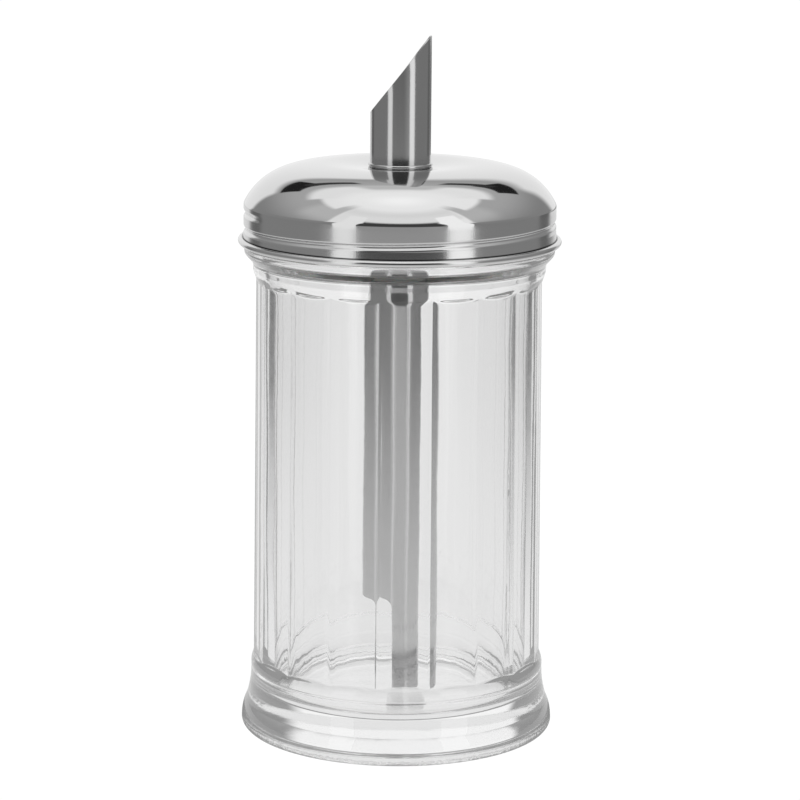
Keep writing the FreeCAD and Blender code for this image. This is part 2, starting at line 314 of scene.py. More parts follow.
# %% [markdown]
# Pressed glass is never quite even. The plunger is smooth, but the glass shrinks away from it as
# it cools, which leaves slow waves and faint upright streaks on the inside. They are far too
# shallow to measure with a ruler, and still they are what makes the wall look like glass.

# %% Rules for the waves, and the finished jar
THREAD_CREST_R = 37.9
JAR_THREAD_TURNS, JAR_THREAD_HALF_WIDTH = 1.35, 1.5


def hand_wave(angle, z):
    """Slow waves of a tenth of a millimetre that every pressed wall has."""
    a = math.radians(angle)
    return (0.045 * math.sin(3 * a + z / 19) + 0.035 * math.sin(5 * a - z / 11 + 2.1)
            + 0.02 * math.sin(11 * a + z / 7 + 0.6) + drawn_streaks(a, z))


def drawn_streaks(a, z):
    """Upright streaks that the plunger leaves on the inside, strongest below the collar."""
    wander = 0.05 * math.sin(z / 23)
    fade = 0.55 + 0.45 * math.sin(z / 31 + 1.0)
    return fade * (0.010 * math.sin(37 * a + wander) + 0.007 * math.sin(61 * a - 2 * wander + 1.3)
                   + 0.005 * math.sin(83 * a + wander + 0.4))


def jar_rule(i, r, z, angle):
    """Moves one point of the jar's outline; i is its row."""
    if first_panel_row <= i < last_panel_row:
        return eased_max(panel_radius(angle, z), r, PANEL_EASE), z
    if first_neck_row <= i < last_neck_row:
        ridge = screw_ridge(angle, z, LID_GROOVE_FRONT_Z + PITCH / 2, FRONT_DEG - 180 * JAR_THREAD_TURNS,
                            JAR_THREAD_TURNS, JAR_THREAD_HALF_WIDTH)
        return r + (THREAD_CREST_R - NECK_R) * ridge, z
    if first_inside_row <= i < last_inside_row:
        return r + hand_wave(angle, z), z
    return r, z


jar = lathe("jar_glass", jar_outline, jar_angles(), jar_rule)
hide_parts("glass_jar")
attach(jar, "jar")
print("the neck's thread goes", JAR_THREAD_TURNS, "times round")

# %% [markdown]
# The lid. A spun lid is one disc of stainless sheet pushed over a former: a shallow dome that
# sinks a little towards the hole, a quick turn-down, a skirt with a screw thread rolled into it,
# and an edge curled outwards into a wire. Thickness could come from a Solidify modifier, but the
# curl needs its own section, so the outline goes round the outside and back along the inside.

# %% Section of the lid
SHEET = 0.45
CROWN_R, CROWN_Z, CROWN_H = 38.99, 131.92, 11.06
CROWN_SHOULDER, CROWN_FALL = 5.943, 0.8306
CROWN_END_R = 38.45
DISH_R, DISH = 20.0, 1.2
HOLE_R = 7.55
SKIRT_R, SKIRT_TOP_Z, CREASE_LOW_Z = 38.6, 132.97, 132.6
FLARE_START_Z, FOLD_R = 126.6, 38.76
CURL_R, CURL_Z = 0.85, 123.8


def crown_z(r):
    """Height of the dome's outside at a radius."""
    rise = CROWN_H * (1 - (r / CROWN_R) ** CROWN_SHOULDER) ** CROWN_FALL
    sink = DISH * (1 - (r / DISH_R) ** 2) ** 2 if r < DISH_R else 0.0
    return CROWN_Z + rise - sink


def crown_points(inset, steps):
    """The dome from the hole outwards, moved in by a thickness; closer together at the shoulder."""
    points = []
    nudge = 1e-4
    for i in range(steps + 1):
        r = HOLE_R + (CROWN_END_R - HOLE_R) * math.sin(0.5 * math.pi * i / steps)
        slope = (crown_z(r + nudge) - crown_z(r - nudge)) / (2 * nudge)
        size = math.hypot(1, slope)
        points.append((r + inset * slope / size, crown_z(r) - inset / size))
    return points


dome_out = crown_points(0, 90)
dome_in = crown_points(SHEET, 60)
wall_r = SKIRT_R - SHEET
curl_r = CURL_OUT_R - CURL_R
fold_z = CURL_Z + math.sqrt(CURL_R ** 2 - (FOLD_R - curl_r) ** 2)
curl_end = (curl_r - CURL_R * math.sqrt(0.5), CURL_Z - CURL_R * math.sqrt(0.5))
crease = arc(dome_out[-1], (38.56, 132.945), (SKIRT_R, CREASE_LOW_Z), 8)
skirt = (run((SKIRT_R, CREASE_LOW_Z), (SKIRT_R, FLARE_START_Z), 80)
         + run((SKIRT_R, FLARE_START_Z), (FOLD_R, fold_z), 12))
wall_end = (wall_r, CURL_Z - 0.1)
curl = arc((FOLD_R, fold_z), (CURL_OUT_R, CURL_Z), curl_end, 26) + run(curl_end, wall_end, 4)
skirt_in = run(wall_end, (wall_r, SKIRT_TOP_Z), 50) + [(wall_r, SKIRT_TOP_Z)]
lid_outline = dome_out[:-1] + crease + skirt + curl + skirt_in + dome_in[::-1]
print("lid section:", len(lid_outline), "points")

# %% [markdown]
# The lid's thread. Rollers press one groove inwards round the skirt, which stands out inside as
# the thread, so both skins of the sheet move together. It uses the same ridge rule as the neck,
# with the sign turned round, so the two threads share one pitch.

# %% Roll the thread into the skirt
LID_THREAD_FROM, LID_THREAD_TURNS, LID_THREAD_HALF_WIDTH = 90.0, 1.35, 1.05
THREAD_DEPTH = 0.50
INSIDE_SKIRT_R = 37


def lid_rule(i, r, z, angle):
    """Moves a point of the lid's outline inwards where the groove is rolled."""
    on_skirt = fold_z + 0.1 < z < SKIRT_TOP_Z - 0.1 and r > INSIDE_SKIRT_R
    if not on_skirt:
        return r, z
    ridge = screw_ridge(angle, z, LID_GROOVE_FRONT_Z, LID_THREAD_FROM, LID_THREAD_TURNS,
                        LID_THREAD_HALF_WIDTH)
    return r - THREAD_DEPTH * ridge, z


lid = lathe("lid_steel", lid_outline, [float(degree) for degree in range(360)], lid_rule, closed=True)
lid.data.set_sharp_from_angle(angle=math.radians(40))
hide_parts("lid_shell")
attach(lid, "lid")
print("the groove goes", LID_THREAD_TURNS, "times round and is", THREAD_DEPTH, "mm deep")

# %% [markdown]
# The pour tube. It is a length of drawn tube with a slant sawn across the top, a notch milled in
# one side of the lower end so that sugar can run in, and a small bead swaged round it that sits
# on the dome. Cutting a cylinder with booleans would leave long thin faces that spoil the
# reflections, so the tube is built as an unrolled sheet whose upper and lower edges follow the
# two cuts, and the wall is then given its thickness with a Solidify modifier.

# %% Edges and bead of the tube
TUBE_WALL = 0.5
SLANT_LOW_Z = 155.35
NOTCH_Z, NOTCH_X, NOTCH_ROUND = 33.5, -1.95, 2.2
SWAGE_R = 0.45
SWAGE_Z = crown_z(HOLE_R) + 0.52


def slant_z(x):
    """Height of the slant cut; the tip is at +X."""
    return SLANT_LOW_Z + (TIP_Z - SLANT_LOW_Z) * (x + TUBE_R) / (2 * TUBE_R)


def notch_top(x):
    """Lower edge of the wall on the notched side, with the notch's rounded corner."""
    into_corner = x - (NOTCH_X - NOTCH_ROUND)
    if into_corner <= 0:
        return NOTCH_Z
    return NOTCH_Z - NOTCH_ROUND + math.sqrt(max(NOTCH_ROUND ** 2 - into_corner ** 2, 0.0))


def tube_wall_radius(z):
    """Outside of the tube, with the swaged bead."""
    off = (z - SWAGE_Z) / SWAGE_R
    return TUBE_R + (SWAGE_R * math.sqrt(1 - off * off) if abs(off) < 1 else 0.0)


notch_edge_deg = math.degrees(math.acos(NOTCH_X / TUBE_R))
print("the notch takes", round(360 - 2 * notch_edge_deg), "degrees of the tube's wall")

# %% [markdown]
# The sheet's columns and rows. Columns run up the tube and are closer together near the notch's
# edges, rows are closer together on the bead, and everything between the notch and the bead is
# shared by the full side and the cut side so that the two halves meet point for point.

# %% Columns and rows of the tube
FULL_COLUMNS, CUT_COLUMNS = 70, 44
CORNER_ROWS, STRAIGHT_ROWS, BEAD_ROWS, SPOUT_ROWS, FOOT_ROWS = 4, 40, 10, 10, 8
above_notch_z = NOTCH_Z + 2
under_bead_z, over_bead_z = SWAGE_Z - SWAGE_R - 1, SWAGE_Z + SWAGE_R + 1.0
full_side = [-notch_edge_deg + 2 * notch_edge_deg * i / FULL_COLUMNS for i in range(FULL_COLUMNS + 1)]
cut_share = [0.5 - 0.5 * math.cos(math.pi * i / CUT_COLUMNS) for i in range(CUT_COLUMNS + 1)]
cut_side = [notch_edge_deg + (360 - 2 * notch_edge_deg) * share for share in cut_share]
straight_rows = [above_notch_z + (under_bead_z - above_notch_z) * i / STRAIGHT_ROWS
                 for i in range(STRAIGHT_ROWS + 1)]
bead_rows = [SWAGE_Z + SWAGE_R * math.sin(math.pi * (i / BEAD_ROWS - 0.5)) for i in range(BEAD_ROWS + 1)]
shared_rows = straight_rows + bead_rows + [over_bead_z]


def tube_column(angle, notched):
    """Heights of one column's points, from the lower edge to the slant."""
    x = TUBE_R * math.cos(math.radians(angle))
    corner_z = NOTCH_Z - NOTCH_ROUND
    start = notch_top(x) if notched else corner_z
    foot = [] if notched else [TUBE_END_Z + (corner_z - TUBE_END_Z) * i / FOOT_ROWS for i in range(FOOT_ROWS)]
    corner = [start + (above_notch_z - start) * i / CORNER_ROWS for i in range(CORNER_ROWS)]
    rise = (slant_z(x) - over_bead_z) / SPOUT_ROWS
    spout = [over_bead_z + rise * i for i in range(1, SPOUT_ROWS + 1)]
    return foot + corner + shared_rows + spout


print("the tube has", len(full_side) + len(cut_side), "columns")

# %% [markdown]
# Wrapping it up. The points are set straight on the tube's radius, the halves are welded where
# they meet, and the Solidify modifier's result is kept as the mesh, because sharp edges have to
# be marked on the finished wall: the cut ends are crisp and the wall is smooth.

# %% Wrap the sheet into a tube
def pour_tube_sheet():
    """The tube's outside as one open sheet."""
    mesh = bmesh.new()
    for side, notched in ((full_side, False), (cut_side, True)):
        columns = []
        for angle in side:
            c, s = math.cos(math.radians(angle)), math.sin(math.radians(angle))
            column = []
            for z in tube_column(angle, notched):
                r = tube_wall_radius(z)
                column.append(mesh.verts.new((r * c * MM, r * s * MM, z * MM)))
            columns.append(column)
        for here, there in zip(columns, columns[1:]):
            for i in range(len(here) - 1):
                mesh.faces.new((here[i], there[i], there[i + 1], here[i + 1]))
    bmesh.ops.remove_doubles(mesh, verts=mesh.verts, dist=2e-6)
    bmesh.ops.recalc_face_normals(mesh, faces=mesh.faces)
    for face in mesh.faces:
        face.smooth = True
    data = bpy.data.meshes.new("spout_tube")
    mesh.to_mesh(data)
    mesh.free()
    return data


tube = bpy.data.objects.new("spout_tube", pour_tube_sheet())
bpy.context.scene.collection.objects.link(tube)
wall_modifier = tube.modifiers.new("wall", "SOLIDIFY")
wall_modifier.thickness = TUBE_WALL * MM
wall_modifier.offset = -1
wall_modifier.use_rim = True
evaluated = tube.evaluated_get(bpy.context.evaluated_depsgraph_get())
walled = bpy.data.meshes.new_from_object(evaluated)
tube.modifiers.clear()
tube.data = walled
tube.data.set_sharp_from_angle(angle=math.radians(35))
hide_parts("pour_tube")
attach(tube, "lid")
print("tube:", len(tube.data.vertices), "points")

# %% [markdown]
# Finishes. Each material is a small node tree. One helper adds a node, sets its sockets and
# properties and links its inputs; colours are written as sRGB hex, the way a paint chart gives
# them, and turned to the linear values that the shader wants by one function.

# %% Node and colour helpers
def linear(hex_colour):
    """An sRGB hex colour as the linear values that a shader takes."""
    parts = [int(hex_colour[i:i + 2], 16) / 255 for i in (1, 3, 5)]
    return tuple(p / 12.92 if p <= 0.04045 else ((p + 0.055) / 1.055) ** 2.4 for p in parts) + (1.0,)


def add(tree, kind, sockets=None, **settings):
    """Adds a node; a socket's value may be a number, a colour or another node's output."""
    node = tree.nodes.new(kind)
    for name, value in settings.items():
        setattr(node, name, value)
    for name, value in (sockets or {}).items():
        socket = node.inputs[name]
        if isinstance(name, str):
            socket = next(s for s in node.inputs if s.name == name and s.enabled)
        if isinstance(value, bpy.types.NodeSocket):
            tree.links.new(value, socket)
        else:
            socket.default_value = value
    return node


def finish_named(name):
    """A new material with an empty node tree."""
    material = bpy.data.materials.new(name)
    material.use_nodes = True
    material.node_tree.nodes.clear()
    return material, material.node_tree


def dress(piece, material):
    piece.data.materials.clear()
    piece.data.materials.append(material)


def product(tree, a, b):
    return add(tree, "ShaderNodeMath", {0: a, 1: b}, operation="MULTIPLY").outputs[0]


def axis_distance(tree, xyz):
    """Distance from the object's axis, from a Separate XYZ node."""
    flat = add(tree, "ShaderNodeCombineXYZ", {"X": xyz.outputs["X"], "Y": xyz.outputs["Y"]})
    return add(tree, "ShaderNodeVectorMath", {0: flat.outputs[0]}, operation="LENGTH").outputs["Value"]


print("stainless grey is", [round(c, 3) for c in linear("#d8d8d8")[:3]], "in linear values")


# %% [markdown]
# Pressed soda-lime glass. It is clear with hardly any colour, its index is about 1.52, and the
# mould leaves the outside very slightly uneven: a skin of soft dimples a few millimetres wide,
# and a fine stipple on the ring that the jar stands on. The floor inside froze first, so it is a
# little duller than the fire-polished wall.

# %% Skin of the pressed glass
DIMPLE_WIDTH, DIMPLE_DEPTH = 7 * MM, 0.3 * MM
STIPPLE_DOT, STIPPLE_DEPTH = 0.8 * MM, 0.2 * MM
STIPPLE_TOP, STIPPLE_FULL = 1.3 * MM, 0.5 * MM
FLOOR_DULL = 0.05
DULL_TOP, DULL_FULL = (FLOOR_Z + 4.8) * MM, (FLOOR_Z + 3.5) * MM
OUTSIDE_BORE, INSIDE_BORE = 34.0 * MM, 33.0 * MM


def mould_skin(tree, place, xyz):
    """Soft dimples all over, with a stipple on the standing ring."""
    dimples = add(tree, "ShaderNodeTexNoise", {"Vector": place, "Scale": 1 / DIMPLE_WIDTH, "Detail": 2.0,
                                               "Roughness": 0.5})
    skin = add(tree, "ShaderNodeBump", {"Height": dimples.outputs["Fac"], "Strength": 0.12,
                                        "Distance": DIMPLE_DEPTH})
    on_ring = add(tree, "ShaderNodeMapRange", {"Value": xyz.outputs["Z"], "From Min": STIPPLE_TOP,
                                               "From Max": STIPPLE_FULL})
    dots = add(tree, "ShaderNodeTexVoronoi", {"Vector": place, "Scale": 1 / STIPPLE_DOT})
    stipple = product(tree, dots.outputs["Distance"], on_ring.outputs[0])
    ring = add(tree, "ShaderNodeBump", {"Height": stipple, "Strength": 0.6, "Distance": STIPPLE_DEPTH,
                                        "Normal": skin.outputs["Normal"]})
    return ring.outputs["Normal"]


def chilled_floor(tree, xyz):
    """Roughness: dull on the inner floor and its rounding, none elsewhere."""
    low = add(tree, "ShaderNodeMapRange", {"Value": xyz.outputs["Z"], "From Min": DULL_TOP,
                                           "From Max": DULL_FULL})
    inside = add(tree, "ShaderNodeMapRange", {"Value": axis_distance(tree, xyz), "From Min": OUTSIDE_BORE,
                                              "From Max": INSIDE_BORE})
    return product(tree, product(tree, low.outputs[0], inside.outputs[0]), FLOOR_DULL)


print("a dimple is", round(DIMPLE_WIDTH / MM), "mm wide; the floor's dull skin is rough by", FLOOR_DULL)

# %% [markdown]
# Light that is thrown about inside the thick foot comes out in the end at about the room's
# average. A renderer gives up after a few turns and would leave those rays black. More bounces
# would cure it slowly; here the last rays simply get the average, so only the bend that nobody
# could follow by eye is replaced.

# %% Pressed soda-lime glass
TRAPPED_LIGHT = 0.30
LAST_REFLECTION, LAST_BOUNCE = 3.5, 11.5


def pressed_soda_lime():
    material, tree = finish_named("pressed_soda_lime_glass")
    place = add(tree, "ShaderNodeTexCoord").outputs["Object"]
    xyz = add(tree, "ShaderNodeSeparateXYZ", {"Vector": place})
    glass = add(tree, "ShaderNodeBsdfPrincipled", {
        "Base Color": linear("#fdfdfd"), "Roughness": chilled_floor(tree, xyz), "IOR": 1.52,
        "Transmission Weight": 1.0, "Normal": mould_skin(tree, place, xyz)})
    path = add(tree, "ShaderNodeLightPath")
    reflected = add(tree, "ShaderNodeMath", {0: path.outputs["Glossy Depth"], 1: LAST_REFLECTION},
                    operation="GREATER_THAN")
    passed = add(tree, "ShaderNodeMath", {0: path.outputs["Ray Depth"], 1: LAST_BOUNCE},
                 operation="GREATER_THAN")
    spent = add(tree, "ShaderNodeMath", {0: reflected.outputs[0], 1: passed.outputs[0]}, operation="MAXIMUM")
    average = add(tree, "ShaderNodeEmission", {"Strength": TRAPPED_LIGHT})
    surface = add(tree, "ShaderNodeMixShader", {0: spent.outputs[0], 1: glass.outputs["BSDF"],
                                                2: average.outputs[0]})
    add(tree, "ShaderNodeOutputMaterial", {"Surface": surface.outputs[0]})
    return material


dress(jar, pressed_soda_lime())
print("jar dressed in", jar.data.materials[0].name)

# %% [markdown]
# Spun and polished stainless. The dome is buffed bright, so it mirrors the studio softly. The
# skirt has been through the thread rollers, which leave short upright marks about a third of a
# millimetre apart. A dark grey is painted into the fold above the curl as painted shade. Both
# surfaces are one sheet, so one material fades from one to the other with height.

# %% Roller marks and painted shade on the lid
MARK_APART, MARK_LONG, MARK_DEPTH = 0.35, 6 * MM, 0.02 * MM
SKIRT_FINISH_TOP, DOME_FINISH_LOW = 131.4 * MM, 132.6 * MM
# how far from the fold's line the painted shade fades out, and where it is full
FOLD_SHADE_FADES, FOLD_SHADE_FULL = 0.42 * MM, 0.18 * MM


def roller_marks(tree, xyz):
    """Short upright marks; the scale round the skirt is in marks a radian."""
    turn = add(tree, "ShaderNodeMath", {0: xyz.outputs["Y"], 1: xyz.outputs["X"]}, operation="ARCTAN2")
    unrolled = add(tree, "ShaderNodeCombineXYZ", {"X": turn.outputs[0], "Y": xyz.outputs["Z"]})
    stretched = add(tree, "ShaderNodeMapping", {"Vector": unrolled.outputs[0],
                                                "Scale": (SKIRT_R / MARK_APART, 1 / MARK_LONG, 1.0)})
    return add(tree, "ShaderNodeTexNoise", {"Vector": stretched.outputs[0], "Scale": 1.0, "Detail": 3.0,
                                            "Roughness": 0.6}).outputs["Fac"]


def painted_shade_in_fold(tree, xyz):
    """Painted shade: 1 in the fold over the curled rim, 0 a hair away from it."""
    section = add(tree, "ShaderNodeCombineXYZ", {"X": axis_distance(tree, xyz), "Y": xyz.outputs["Z"]})
    fold = add(tree, "ShaderNodeVectorMath", {0: section.outputs[0], 1: (FOLD_R * MM, fold_z * MM, 0)},
               operation="DISTANCE")
    return add(tree, "ShaderNodeMapRange", {"Value": fold.outputs["Value"], "From Min": FOLD_SHADE_FADES,
                                            "From Max": FOLD_SHADE_FULL}).outputs[0]


print("the skirt has about", round(math.tau * SKIRT_R / MARK_APART), "roller marks round it")

# %% [markdown]
# The lid's finish puts these together: buffed steel is close to a mirror, and the rolled skirt
# has about three times its roughness.

# %% Spun stainless
BUFFED, ROLLED = 0.055, 0.15


def spun_stainless():
    material, tree = finish_named("spun_stainless")
    place = add(tree, "ShaderNodeTexCoord").outputs["Object"]
    xyz = add(tree, "ShaderNodeSeparateXYZ", {"Vector": place})
    on_skirt = add(tree, "ShaderNodeMapRange", {"Value": xyz.outputs["Z"], "From Min": DOME_FINISH_LOW,
                                                "From Max": SKIRT_FINISH_TOP})
    height = product(tree, roller_marks(tree, xyz), on_skirt.outputs[0])
    skin = add(tree, "ShaderNodeBump", {"Height": height, "Strength": 0.25, "Distance": MARK_DEPTH})
    rough = add(tree, "ShaderNodeMapRange", {"Value": on_skirt.outputs[0], "To Min": BUFFED,
                                             "To Max": ROLLED})
    # the fold's dark grey is painted shade in the crease over the curl, not a colour of the steel
    tint = add(tree, "ShaderNodeMix", {"Factor": painted_shade_in_fold(tree, xyz), "A": linear("#d8d8d8"),
                                       "B": linear("#2a2a2a")}, data_type="RGBA")
    colour = next(socket for socket in tint.outputs if socket.enabled)
    steel = add(tree, "ShaderNodeBsdfPrincipled", {
        "Base Color": colour, "Metallic": 1.0, "Roughness": rough.outputs[0],
        "Normal": skin.outputs["Normal"]})
    add(tree, "ShaderNodeOutputMaterial", {"Surface": steel.outputs["BSDF"]})
    return material


dress(lid, spun_stainless())
print("lid dressed in", lid.data.materials[0].name)

# %% [markdown]
# Drawn stainless tube. Pulling the tube through its die leaves a bright skin with very fine lines
# along its length, which blur reflections sideways.

# %% Drawn stainless tube
DRAW_LINE_APART, DRAW_LINE_LONG, DRAW_LINE_DEPTH = 0.4 * MM, 30 * MM, 0.02 * MM


def drawn_stainless():
    material, tree = finish_named("drawn_stainless_tube")
    place = add(tree, "ShaderNodeTexCoord").outputs["Object"]
    per_line = (1 / DRAW_LINE_APART, 1 / DRAW_LINE_APART, 1 / DRAW_LINE_LONG)
    stretched = add(tree, "ShaderNodeMapping", {"Vector": place, "Scale": per_line})
    lines = add(tree, "ShaderNodeTexNoise", {"Vector": stretched.outputs[0], "Scale": 1.0, "Detail": 2.0})
    rough = add(tree, "ShaderNodeMapRange", {"Value": lines.outputs["Fac"], "To Min": 0.08, "To Max": 0.2})
    skin = add(tree, "ShaderNodeBump", {"Height": lines.outputs["Fac"], "Strength": 0.06,
                                        "Distance": DRAW_LINE_DEPTH})
    steel = add(tree, "ShaderNodeBsdfPrincipled", {
        "Base Color": linear("#c9c9c9"), "Metallic": 1.0, "Roughness": rough.outputs[0],
        "Normal": skin.outputs["Normal"]})
    add(tree, "ShaderNodeOutputMaterial", {"Surface": steel.outputs["BSDF"]})
    return material


tube_steel = drawn_stainless()
dress(tube, tube_steel)
dress(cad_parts["tube_lock_ring"], tube_steel)
print("tube and lock ring dressed")

# %% [markdown]
# Soft polyethylene. The gasket and the washer are stamped from milky sheet: a waxy, slightly
# see-through plastic with a faint moulded grain.

# %% Milky polyethylene
GRAIN, GRAIN_DEPTH, GLOW_DEPTH = 0.8 * MM, 0.03 * MM, 1.5 * MM


def milky_polyethylene():
    material, tree = finish_named("milky_polyethylene")
    place = add(tree, "ShaderNodeTexCoord").outputs["Object"]
    grain = add(tree, "ShaderNodeTexNoise", {"Vector": place, "Scale": 1 / GRAIN, "Detail": 3.0})
    skin = add(tree, "ShaderNodeBump", {"Height": grain.outputs["Fac"], "Strength": 0.2,
                                        "Distance": GRAIN_DEPTH})
    rough = add(tree, "ShaderNodeMapRange", {"Value": grain.outputs["Fac"], "To Min": 0.42, "To Max": 0.58})
    plastic = add(tree, "ShaderNodeBsdfPrincipled", {
        "Base Color": linear("#e9e9e4"), "Roughness": rough.outputs[0], "IOR": 1.51,
        "Subsurface Weight": 0.25, "Subsurface Scale": GLOW_DEPTH, "Normal": skin.outputs["Normal"]})
    add(tree, "ShaderNodeOutputMaterial", {"Surface": plastic.outputs["BSDF"]})
    return material


soft_seal = milky_polyethylene()
for name in ("tube_washer", "lid_gasket"):
    dress(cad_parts[name], soft_seal)
print("seals dressed")

# %% [markdown]
# The studio. Polished steel shows nothing of its own, only the room, so the room has to be
# furnished. Every lamp and wall is placed by its plan angle from the camera's side, and its
# brightness is given as the grey that the steel then shows, so one number says what one sees.

# %% Where the camera stands
CAMERA_TURN, CAMERA_PITCH, CAMERA_ROLL = 4.4, 11.586, 0.465
CAMERA_FAR, CAMERA_HIGH = 0.76884, 0.24093
CAMERA_AIM = -0.028
STEEL_MIRROR = 0.69


def lamp_level(shown):
    """Brightness of a surface that polished steel mirrors as this grey (0 to 255)."""
    return linear("#%02x0000" % shown)[0] / STEEL_MIRROR


def around(degrees, distance, height):
    """Place at a plan angle from the camera's side (positive to the right), in metres."""
    a = math.radians(CAMERA_TURN + degrees)
    return (distance * math.sin(a), -distance * math.cos(a), height)


print("mid grey in the steel needs a room at", round(lamp_level(118), 3))

# %% [markdown]
# Cards. A flat card is the simplest lamp or table, and a glowing card is hidden from the
# camera, which sees only what it lights and what mirrors it.

# %% Flat and glowing cards
def card_mesh(name, size, place, facing):
    """Flat card centred at a place and turned to face a point, in metres."""
    data = bpy.data.meshes.new(name)
    w, h = size[0] / 2, size[1] / 2
    data.from_pydata([(-w, -h, 0), (w, -h, 0), (w, h, 0), (-w, h, 0)], [], [(0, 1, 2, 3)])
    card = bpy.data.objects.new(name, data)
    bpy.context.scene.collection.objects.link(card)
    towards = (Vector(facing) - Vector(place)).normalized()
    card.matrix_world = Matrix.Translation(place) @ towards.to_track_quat("Z", "Y").to_matrix().to_4x4()
    return card


def glowing_card(name, size, place, facing, level):
    card = card_mesh(name, size, place, facing)
    material, tree = finish_named(name + "_light")
    glow = add(tree, "ShaderNodeEmission", {"Strength": level})
    add(tree, "ShaderNodeOutputMaterial", {"Surface": glow.outputs[0]})
    dress(card, material)
    card.visible_camera = False
    print(name, "glows at", round(level, 2))


print("steel shows white as", round(lamp_level(255), 2))

# %% [markdown]
# Painting with light. The table and the room are painted in soft-edged patches, each given by
# its direction from the jar and by a distance or an elevation. A painted picture of a studio
# would do the same, but patches with numbers can be read and moved.

# %% Soft-edged patches
def within(tree, value, centre, half, edge):
    """1 inside centre +- half, 0 outside, with a soft edge."""
    off = add(tree, "ShaderNodeMath", {0: value, 1: centre}, operation="SUBTRACT")
    size = add(tree, "ShaderNodeMath", {0: off.outputs[0]}, operation="ABSOLUTE")
    return add(tree, "ShaderNodeMapRange", {"Value": size.outputs[0], "From Min": half - edge,
                                            "From Max": half + edge, "To Min": 1.0, "To Max": 0.0},
               interpolation_type="SMOOTHSTEP").outputs[0]


def blend(tree, mask, under, over):
    """Brightness under where the mask is 0, and over where it is 1."""
    return add(tree, "ShaderNodeMix", {"Factor": mask, "A": under, "B": over}).outputs[0]


def seen_from_jar(tree, place):
    """Plan angle in degrees from the camera's side, for a place or a direction."""
    turned = add(tree, "ShaderNodeMapping", {"Vector": place, "Rotation": (0, 0, -math.radians(CAMERA_TURN))})
    axes = add(tree, "ShaderNodeSeparateXYZ", {"Vector": turned.outputs[0]})
    nearer = add(tree, "ShaderNodeMath", {0: 0.0, 1: axes.outputs["Y"]}, operation="SUBTRACT")
    plan = add(tree, "ShaderNodeMath", {0: axes.outputs["X"], 1: nearer.outputs[0]}, operation="ARCTAN2")
    return add(tree, "ShaderNodeMath", {0: plan.outputs[0]}, operation="DEGREES").outputs[0]


def overlap(tree, plan, turn_range, other, other_range, under, over):
    """Lays a brightness where both values are within their (middle, half, edge)."""
    mask = product(tree, within(tree, plan, *turn_range), within(tree, other, *other_range))
    return blend(tree, mask, under, over)


print("patches ready")

# %% [markdown]
# The table. It is white round the jar, falls to grey away from the lamps, and has a shade at the
# foot where the jar keeps the light off. Each patch is its plan angle and its distance in
# metres, both as middle, half width and soft edge. To the camera it is plain white, as a paper
# sweep is that has been lit until it burns out.

# %% White table top
SWEEP_WHITE = 1.03
NEAR_WHITE, BACK_WHITE, POOL_WHITE, CONTACT_SHADE = 0.80, 0.81, 1.0, 0.24
FRONT, BACK = (0, 56, 6), (180, 38, 4)
FAR_OUT, FAR_CORNER = (1.3, 0.75, 0.1), (1.55, 0.45, 0.05)
UNDER_STRIPS, AT_FOOT = (0.42, 0.36, 0.04), (0.046, 0.009, 0.005)
FAR_PATCHES = (((30, 10, 10), FAR_OUT, lamp_level(140)),
               ((-129, 8, 4), FAR_OUT, lamp_level(92)),
               ((130, 8, 4), FAR_OUT, lamp_level(92)))
NEAR_PATCHES = (((153, 15, 3), FAR_CORNER, lamp_level(112)),
                ((-40, 8, 2), UNDER_STRIPS, POOL_WHITE),
                ((44, 8, 2), UNDER_STRIPS, POOL_WHITE),
                ((0, 118, 8), AT_FOOT, CONTACT_SHADE))


def fall_off(tree, far, near_end, far_end, shown):
    """White near the jar, dimmer with distance."""
    return add(tree, "ShaderNodeMapRange", {"Value": far, "From Min": near_end, "From Max": far_end,
                                            "To Min": NEAR_WHITE, "To Max": lamp_level(shown)}).outputs[0]


def white_table_top():
    material, tree = finish_named("white_table_top")
    place = add(tree, "ShaderNodeNewGeometry").outputs["Position"]
    far = add(tree, "ShaderNodeVectorMath", {0: place}, operation="LENGTH").outputs["Value"]
    plan = seen_from_jar(tree, place)
    level = blend(tree, within(tree, plan, *FRONT), fall_off(tree, far, 0.12, 0.5, 118),
                  fall_off(tree, far, 0.05, 1.3, 104))
    for turn_range, far_range, brightness in FAR_PATCHES:
        level = overlap(tree, plan, turn_range, far, far_range, level, brightness)
    either_way = add(tree, "ShaderNodeMath", {0: plan}, operation="ABSOLUTE").outputs[0]
    level = blend(tree, within(tree, either_way, *BACK), level, BACK_WHITE)
    for turn_range, far_range, brightness in NEAR_PATCHES:
        level = overlap(tree, plan, turn_range, far, far_range, level, brightness)
    to_camera = add(tree, "ShaderNodeLightPath").outputs["Is Camera Ray"]
    glow = add(tree, "ShaderNodeEmission", {"Strength": blend(tree, to_camera, level, SWEEP_WHITE)})
    add(tree, "ShaderNodeOutputMaterial", {"Surface": glow.outputs[0]})
    return material


TABLE_WIDTH, TABLE_DROP = 8, 0.0002
table = card_mesh("table", (TABLE_WIDTH, TABLE_WIDTH), (0, 0, -TABLE_DROP), (0, 0, 1))
dress(table, white_table_top())
print("table", TABLE_WIDTH, "m wide, with", len(FAR_PATCHES) + len(NEAR_PATCHES), "patches")

# %% [markdown]
# Two strip lights stand in front, one on each side of the camera. They draw the bright upright
# streaks on the tube and on the jar's ridges. Area lamps would do as well; cards are used so
# that their brightness is set in the same way as the room's patches.

# %% Strip lights
STRIP_TALL = 1.2
STRIP_AWAY, STRIP_MIDDLE = 0.8, 0.6
for name, turn, width, shown in (("strip_left", -40, 0.25, 221), ("strip_right", 44, 0.28, 235)):
    stand, axis = around(turn, STRIP_AWAY, STRIP_MIDDLE), around(turn, 0, STRIP_MIDDLE)
    glowing_card(name, (width, STRIP_TALL), stand, axis, lamp_level(shown))

